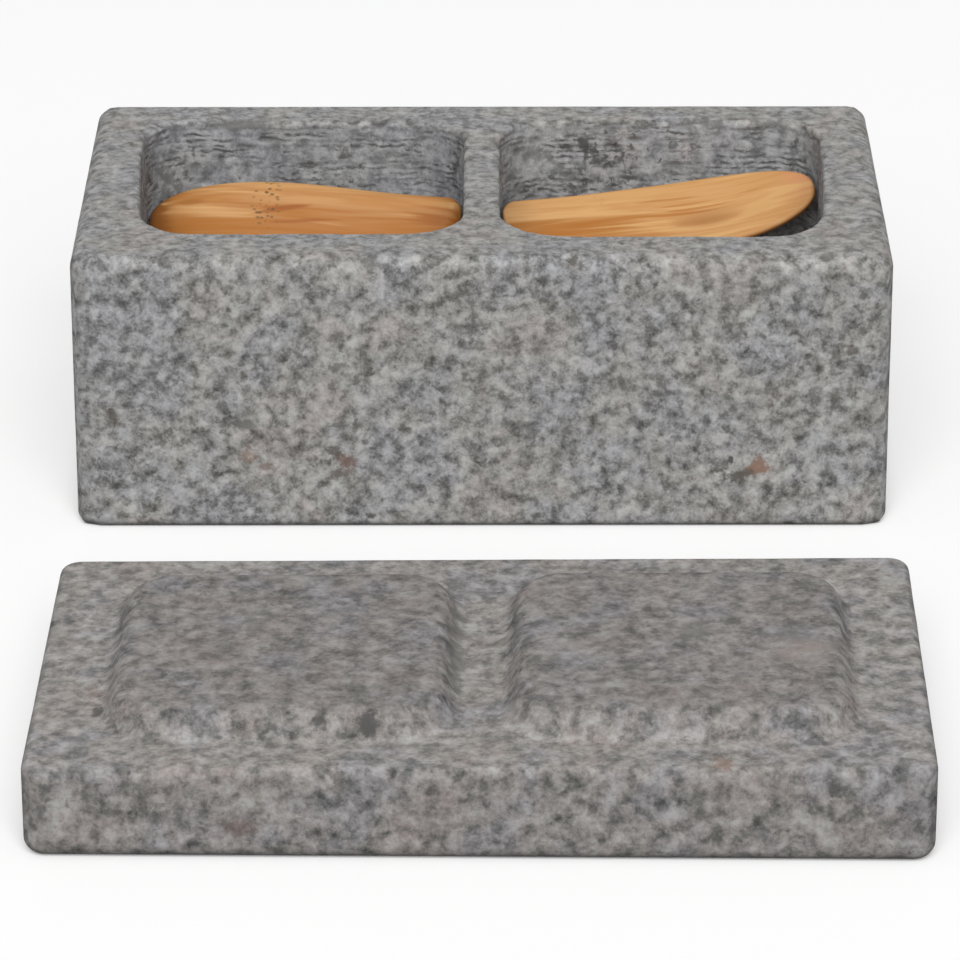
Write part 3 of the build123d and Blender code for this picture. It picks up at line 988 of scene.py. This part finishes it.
def honed_stone(name, colours, ground, coarseness, stains):
    """Andesite, sawn, milled and ground dull: a grey ground mass mottled with light and dark minerals, faint clouds
    of hue, near-black pores, painted shade on the lid's sawn faces and along the stone's foot, and no gloss."""
    material, tree, shader = new_material(name)
    middle = tuple(ground)
    place = add_node(tree, "ShaderNodeTexCoord").outputs["Object"]
    honed, sawn, milled = [
        add_node(tree, "ShaderNodeAttribute", attribute_name=mask).outputs["Fac"]
        for mask in ("honed", "sawn", "tooled")
    ]

    # Clouds about 13 mm across, which thin out and crowd the blots and shift the hue
    clouds = add_node(
        tree, "ShaderNodeTexNoise", {"Scale": 1 / (13 * MM), "Detail": 3.0, "Roughness": 0.6}, {"Vector": place}
    ).outputs["Fac"]
    mottle, grained = mineral_mottle(tree, place, clouds, coarseness)
    marks = cutter_marks(tree, place)
    pores = open_pores_plus_foot_shade(tree, place, clouds, milled)
    shades = add_node(
        tree,
        "ShaderNodeValToRGB",
        links={"Fac": grained},
        stops=[(0.28, colours.pore[:]), (0.42, colours.dark[:]), (0.53, middle), (0.70, colours.light[:])],
    )

    # The ground top is calmer than the sawn sides
    calmness = add_node(tree, "ShaderNodeMath", {1: 0.16}, {0: honed}, operation="MULTIPLY")
    calmed = add_node(
        tree,
        "ShaderNodeMix",
        {MIX_B: (*middle, 1)},
        {0: calmness.outputs["Value"], MIX_A: shades.outputs["Color"]},
        data_type="RGBA",
    )

    # The clouds shift the hue a little and keep the light and dark below them
    hues = add_node(
        tree,
        "ShaderNodeValToRGB",
        links={"Fac": clouds},
        stops=[(0.38, colours.blue[:]), (0.48, middle), (0.55, colours.olive[:]), (0.64, colours.pink[:])],
    )
    finished = add_node(
        tree,
        "ShaderNodeMix",
        {0: 0.3},
        {MIX_A: calmed.outputs[MIX_COLOUR], MIX_B: hues.outputs["Color"]},
        data_type="RGBA",
        blend_type="COLOR",
    ).outputs[MIX_COLOUR]

    # Over that lie, in this order: the painted shade of the lid's rougher sawn faces, for the shade of their own pits,
    # the bluer tone of the freshly milled walls, their dark cutter marks, and the near-black pores together with the
    # painted shade along the stone's foot
    for shade, strength, where, blend in (
        (colours.sawn, 1.0, sawn, "MULTIPLY"),
        (colours.fresh, 0.25, milled, "MIX"),
        (colours.pore, 0.95, marks, "MIX"),
        (colours.pore, 0.85, pores, "MIX"),
    ):
        share = add_node(tree, "ShaderNodeMath", {1: strength}, {0: where}, operation="MULTIPLY")
        finished = add_node(
            tree,
            "ShaderNodeMix",
            {MIX_B: (*shade, 1)},
            {0: share.outputs["Value"], MIX_A: finished},
            data_type="RGBA",
            blend_type=blend,
        ).outputs[MIX_COLOUR]
    tree.links.new(with_spots(tree, place, mottle, finished, colours, stains), shader.inputs["Base Color"])

    # The dark minerals and the cutter marks lie a little lower than the rest
    relief = add_node(tree, "ShaderNodeMath", {1: -0.5}, {0: marks, 2: grained}, operation="MULTIPLY_ADD")
    bump = add_node(
        tree, "ShaderNodeBump", {"Strength": 0.3, "Distance": 0.3 * MM}, {"Height": relief.outputs["Value"]}
    )
    tree.links.new(bump.outputs["Normal"], shader.inputs["Normal"])
    shader.inputs["Roughness"].default_value = 0.85
    shader.inputs["IOR"].default_value = 1.5
    return material


# Marks in the wood, with painted highlights and shades of the strip's curved faces, in millimetres from the middle of
# the handle's end along, across and through the strip
LEFT_MARKS = (
    ((32.0, 0, 0), (60.0, 20.0, 20), 0, 0.26, "rust"),
    # Painted shade: the tip darker where its face turns down (this row and the two edge-coloured rows at the end)
    ((58.0, 0, 0), (12.0, 9.0, 9), 0, 0.6, "deep"),
    # Painted shade, with darker wood: the lower side, which faces away from the light
    ((30.0, -2.5, 0), (46.0, 4.8, 9), 0, 0.75, "deep"),
    ((4.0, 0, 0), (11.0, 9.0, 9), 0, 0.8, "deep"),
    ((5.0, 3.0, 0), (6.0, 3.0, 9), 0, 0.5, "rust"),
    # Painted highlight, with paler wood: two pale bands along the upper side (this row and the next)
    ((30.0, 8.2, 0), (30.0, 1.6, 9), 0, 0.7, "pale"),
    ((24.0, 4.2, 0), (20.0, 1.2, 9), 0, 0.4, "pale"),
    ((39.5, 1.4, 0), (7.5, 0.5, 9), -0.2, 0.7, "rust"),
    ((32.0, -0.4, 0), (7.0, 0.4, 9), -0.1, 0.6, "rust"),
    ((36.0, 2.6, 0), (5.0, 0.3, 9), -0.12, 0.5, "rust"),
    # Painted shade at the tip, where its face turns down (these two rows)
    ((62.0, 1.0, 0), (3.0, 5.0, 9), 0, 0.7, "edge"),
    ((56.0, 3.0, 0), (2.4, 1.2, 9), 0, 0.3, "edge"),
)
RIGHT_MARKS = (
    # Painted shade on the handle's lower side
    ((12.0, -3.0, 0), (22.0, 4.4, 9), 0, 0.85, "deep"),
    ((6.0, -1.0, 0), (9.0, 5.0, 9), 0, 0.6, "deep"),
    # Painted highlight on the handle's lit upper facet
    ((20.0, 6.2, 0), (20.0, 2.0, 9), 0, 0.6, "pale"),
    ((46.0, 1.0, 0), (14.0, 6.0, 9), 0, 0.4, "pale"),
    ((62.0, 1.8, 0), (3.2, 4.6, 9), 0, 0.6, "pink"),
    ((36.0, 2.6, 0), (6.0, 0.3, 9), 0, 0.7, "deep"),
    ((34.0, 4.2, 0), (7.0, 0.25, 9), 0, 0.6, "deep"),
    ((37.0, 0.6, 0), (8.0, 0.3, 9), 0, 0.7, "deep"),
    ((40.0, 1.6, 0), (6.0, 0.25, 9), 0, 0.6, "deep"),
)

# Middle of the cane's node on each strip, measured in the same way
LEFT_NODE = (40.0, 3.4, -1.0)
RIGHT_NODE = (20.0, 5.0, -1.5)


def carved_bamboo(name, colours, marks, node_place):
    """Moso bamboo, carved, sanded and oiled: long fibres 0.5 mm apart and tone bands 3 mm wide along the strip,
    rows of small dark fibre ends where the cane had a node, painted shade on the front cut edges, painted highlights
    and shades among the marks, and a soft satin sheen."""
    material, tree, shader = new_material(name)
    place = add_node(tree, "ShaderNodeAttribute", attribute_name="grain_place").outputs["Vector"]
    along_fibres = add_node(
        tree, "ShaderNodeMapping", {"Scale": (1 / (20 * MM), 1 / (0.55 * MM), 1 / (0.9 * MM))}, {"Vector": place}
    )
    fibres = add_node(
        tree,
        "ShaderNodeTexNoise",
        {"Scale": 1.0, "Detail": 3.0, "Roughness": 0.55, "Distortion": 0.35},
        {"Vector": along_fibres.outputs["Vector"]},
    ).outputs["Fac"]
    along_bands = add_node(
        tree, "ShaderNodeMapping", {"Scale": (1 / (34 * MM), 1 / (2.6 * MM), 1 / (2.6 * MM))}, {"Vector": place}
    )
    bands = add_node(
        tree,
        "ShaderNodeTexNoise",
        {"Scale": 1.0, "Detail": 2.0, "Distortion": 0.8},
        {"Vector": along_bands.outputs["Vector"]},
    ).outputs["Fac"]
    tone = add_node(tree, "ShaderNodeMath", {1: 0.45}, {0: fibres, 2: bands}, operation="MULTIPLY_ADD")
    shades = add_node(
        tree,
        "ShaderNodeValToRGB",
        links={"Fac": tone.outputs["Value"]},
        stops=[(0.52, colours.deep[:]), (0.69, colours.middle[:]), (0.75, colours.middle[:]), (0.9, colours.pale[:])],
    )
    finished = with_spots(tree, place, bands, shades.outputs["Color"], colours, marks)

    # Fibre ends at the node: dots of 0.4 mm in cells of about 1 mm, only inside the node's oval
    cells = add_node(
        tree, "ShaderNodeMapping", {"Scale": (1 / (1.25 * MM), 1 / (0.8 * MM), 1 / (3 * MM))}, {"Vector": place}
    )
    dots = add_node(tree, "ShaderNodeTexVoronoi", {"Scale": 1.0}, {"Vector": cells.outputs["Vector"]})
    dot = add_node(
        tree,
        "ShaderNodeMapRange",
        {"From Min": 0.22, "From Max": 0.46, "To Min": 1.0, "To Max": 0.0},
        {"Value": dots.outputs["Distance"]},
        interpolation_type="SMOOTHSTEP",
    )
    node = add_node(
        tree,
        "ShaderNodeMapping",
        {"Location": [v * MM for v in node_place], "Scale": (3.4 * MM, 6.4 * MM, 3 * MM)},
        {"Vector": place},
        vector_type="TEXTURE",
    )
    from_node = add_node(tree, "ShaderNodeVectorMath", links={0: node.outputs["Vector"]}, operation="LENGTH")
    at_node = add_node(
        tree,
        "ShaderNodeMapRange",
        {"From Min": 0.6, "From Max": 1.1, "To Min": 0.8, "To Max": 0.0},
        {"Value": from_node.outputs["Value"]},
    )
    dot_share = add_node(
        tree, "ShaderNodeMath", links={0: dot.outputs["Result"], 1: at_node.outputs["Result"]}, operation="MULTIPLY"
    )
    # Painted shade on the front cut edge
    painted_edge_shade = add_node(tree, "ShaderNodeAttribute", attribute_name="painted_edge_shade")
    for shade, share in ((colours.dot, dot_share.outputs["Value"]), (colours.edge, painted_edge_shade.outputs["Fac"])):
        finished = add_node(
            tree,
            "ShaderNodeMix",
            {MIX_B: (*shade, 1)},
            {0: share, MIX_A: finished},
            data_type="RGBA",
        ).outputs[MIX_COLOUR]
    tree.links.new(finished, shader.inputs["Base Color"])
    bump = add_node(tree, "ShaderNodeBump", {"Strength": 0.25, "Distance": 0.15 * MM}, {"Height": fibres})
    tree.links.new(bump.outputs["Normal"], shader.inputs["Normal"])
    shader.inputs["Roughness"].default_value = 0.55
    shader.inputs["Specular IOR Level"].default_value = 0.2
    return material


def white_floor():
    """A matt white studio sheet. The camera sees it as pure white, its soft shadows thinned by a glow that fades
    within 5 mm of what stands on the sheet, so that contact shadows stay dark."""
    material, tree, shader = new_material("white_studio_sheet")
    shader.inputs["Roughness"].default_value = 1.0
    shader.inputs["Specular IOR Level"].default_value = 0.0
    path = add_node(tree, "ShaderNodeLightPath")
    paint = add_node(
        tree, "ShaderNodeMapRange", {"To Min": FLOOR_WHITE, "To Max": 1.0}, {"Value": path.outputs["Is Camera Ray"]}
    )
    tree.links.new(paint.outputs["Result"], shader.inputs["Base Color"])
    glow = add_node(tree, "ShaderNodeEmission", {"Color": (1, 1, 1, 1), "Strength": 1.0})
    open_floor = add_node(tree, "ShaderNodeAmbientOcclusion", {"Distance": 5 * MM})
    glowing = add_node(
        tree,
        "ShaderNodeMath",
        links={0: path.outputs["Is Camera Ray"], 1: open_floor.outputs["AO"]},
        operation="MULTIPLY",
    )
    share = add_node(tree, "ShaderNodeMath", {1: FLOOR_GLOW}, {0: glowing.outputs["Value"]}, operation="MULTIPLY")
    mixed = add_node(
        tree,
        "ShaderNodeMixShader",
        links={0: share.outputs["Value"], 1: shader.outputs["BSDF"], 2: glow.outputs["Emission"]},
    )
    tree.links.new(mixed.outputs["Shader"], tree.nodes["Material Output"].inputs["Surface"])
    return material


def add_floor(scene):
    """A level sheet through the underside of the box and the lid, far wider than the view."""
    half = 4.0
    mesh = bpy.data.meshes.new("floor_sheet")
    mesh.from_pydata([(-half, -half, 0), (half, -half, 0), (half, half, 0), (-half, half, 0)], [], [(0, 1, 2, 3)])
    mesh.materials.append(white_floor())
    floor = bpy.data.objects.new("floor_sheet", mesh)
    scene.collection.objects.link(floor)


def light_world(scene, strength):
    """Even light from all round, seen as plain white by the camera, in reflections and through glass."""
    world = bpy.data.worlds.new("studio_white")
    scene.world = world
    world.use_nodes = True
    tree = world.node_tree
    path = add_node(tree, "ShaderNodeLightPath")
    seen = path.outputs["Is Camera Ray"]
    for kind in ("Is Glossy Ray", "Is Transmission Ray"):
        seen = add_node(
            tree, "ShaderNodeMath", links={0: seen, 1: path.outputs[kind]}, operation="MAXIMUM"
        ).outputs["Value"]
    level = add_node(tree, "ShaderNodeMapRange", {"To Min": strength, "To Max": 1.0}, {"Value": seen})
    background = tree.nodes["Background"]
    background.inputs["Color"].default_value = (1, 1, 1, 1)
    tree.links.new(level.outputs["Result"], background.inputs["Strength"])


def add_lamp(name, power, size, place):
    """A wide soft lamp aimed at the middle of the object."""
    lamp = bpy.data.lights.new(name, "AREA")
    lamp.shape = "RECTANGLE"
    lamp.energy, lamp.size, lamp.size_y = power, *size
    holder = bpy.data.objects.new(name, lamp)
    target = Vector((0, (BOX_HIGH.y + LID_LOW.y) / 2, 0))
    holder.location = place
    holder.rotation_euler = (target - Vector(place)).to_track_quat("-Z", "Y").to_euler()
    bpy.context.scene.collection.objects.link(holder)


def add_camera(scene, stage):
    """The camera at the photograph's viewing angle: heading about the vertical, then pitch, then roll."""
    camera = bpy.data.cameras.new("camera")
    camera.lens = stage.lens
    holder = bpy.data.objects.new("camera", camera)
    turn = Matrix.Rotation(stage.heading, 4, "Z")
    turn = turn @ Matrix.Rotation(QUARTER_TURN - stage.pitch, 4, "X") @ Matrix.Rotation(stage.roll, 4, "Z")
    holder.matrix_world = Matrix.Translation(stage.camera_place) @ turn
    scene.collection.objects.link(holder)
    scene.camera = holder


class PINCHPOT_OT_pot(bpy.types.Operator):
    """Makes the stone box with its two pockets"""

    bl_idname = "pinchpot.pot"
    bl_label = "Stone box"

    def execute(self, context):
        settings, colours = context.scene, context.scene.stone_colours
        mesh = make_pot_mesh(settings.pot_sizes, settings.stone_relief)
        stone = honed_stone("honed_andesite_box", colours, colours.middle, coarseness=1.0, stains=BOX_STAINS)
        add_piece(mesh, stone, "body", "stone_body")
        return {"FINISHED"}


class PINCHPOT_OT_lid(bpy.types.Operator):
    """Makes the loose lid, lying with its bosses up"""

    bl_idname = "pinchpot.lid"
    bl_label = "Stone lid"

    def execute(self, context):
        settings, colours = context.scene, context.scene.stone_colours
        mesh = make_lid_mesh(settings.lid_sizes, settings.pot_sizes, settings.stone_relief)
        stone = honed_stone("honed_andesite_lid", colours, colours.lid_tint, coarseness=1.35, stains=LID_STAINS)
        add_piece(mesh, stone, "lid", "stone_lid")
        return {"FINISHED"}


class PINCHPOT_OT_spoons(bpy.types.Operator):
    """Makes the two bamboo spoons"""

    bl_idname = "pinchpot.spoons"
    bl_label = "Bamboo spoons"

    def execute(self, context):
        sizes, colours = context.scene.spoon_sizes, context.scene.bamboo_colours
        left_lean = (sizes.left_roll, sizes.left_tip_up, sizes.left_tip_back)
        right_lean = (sizes.right_roll, sizes.right_tip_up, sizes.right_tip_back)
        left = make_spoon_mesh("left_bamboo_spoon", "spoon_left", sizes, -1, True, left_lean)
        right = make_spoon_mesh("right_bamboo_spoon", "spoon_right", sizes, 1, False, right_lean)
        left_wood = carved_bamboo("oiled_bamboo_left", colours, LEFT_MARKS, LEFT_NODE)
        right_wood = carved_bamboo("oiled_bamboo_right", colours, RIGHT_MARKS, RIGHT_NODE)
        add_piece(left, left_wood, "left_spoon", "spoon_left")
        add_piece(right, right_wood, "right_spoon", "spoon_right")
        return {"FINISHED"}


class PINCHPOT_OT_stage(bpy.types.Operator):
    """Sets the floor, the soft light and the camera"""

    bl_idname = "pinchpot.stage"
    bl_label = "Floor, light and camera"

    def execute(self, context):
        scene, stage = context.scene, context.scene.stage_settings
        add_floor(scene)
        light_world(scene, stage.sky)
        add_lamp("key_softbox", stage.key, KEY_SIZE, KEY_PLACE)
        add_lamp("back_softbox", stage.back, BACK_SIZE, BACK_PLACE)
        add_camera(scene, stage)
        scene.view_settings.view_transform = "Standard"
        return {"FINISHED"}


class PINCHPOT_PT_sidebar(bpy.types.Panel):
    """Lists the pieces and their sizes and colours."""

    bl_idname = "PINCHPOT_PT_sidebar"
    bl_label = "Pinch Pot"
    bl_space_type = "VIEW_3D"
    bl_region_type = "UI"
    bl_category = "Pinch Pot"

    def draw(self, context):
        for operator in OPERATORS:
            self.layout.operator(operator.bl_idname)
        for name, group in GROUPS.items():
            box = self.layout.box()
            box.label(text=group.__doc__)
            for key in group.__annotations__:
                box.prop(getattr(context.scene, name), key)


OPERATORS = (PINCHPOT_OT_pot, PINCHPOT_OT_lid, PINCHPOT_OT_spoons, PINCHPOT_OT_stage)
GROUPS = {
    "pot_sizes": PotSizes,
    "lid_sizes": LidSizes,
    "stone_relief": StoneRelief,
    "spoon_sizes": SpoonSizes,
    "stone_colours": StoneColours,
    "bamboo_colours": BambooColours,
    "stage_settings": StageSettings,
}


def register():
    for name, group in GROUPS.items():
        bpy.utils.register_class(group)
        setattr(bpy.types.Scene, name, PointerProperty(type=group))
    for operator in OPERATORS:
        bpy.utils.register_class(operator)
    bpy.utils.register_class(PINCHPOT_PT_sidebar)


def unregister():
    bpy.utils.unregister_class(PINCHPOT_PT_sidebar)
    for operator in reversed(OPERATORS):
        bpy.utils.unregister_class(operator)
    for name, group in reversed(GROUPS.items()):
        delattr(bpy.types.Scene, name)
        bpy.utils.unregister_class(group)


def main():
    register()
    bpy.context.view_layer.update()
    bpy.ops.pinchpot.pot()
    bpy.ops.pinchpot.lid()
    bpy.ops.pinchpot.spoons()
    bpy.ops.pinchpot.stage()


if __name__ == "__main__":
    main()
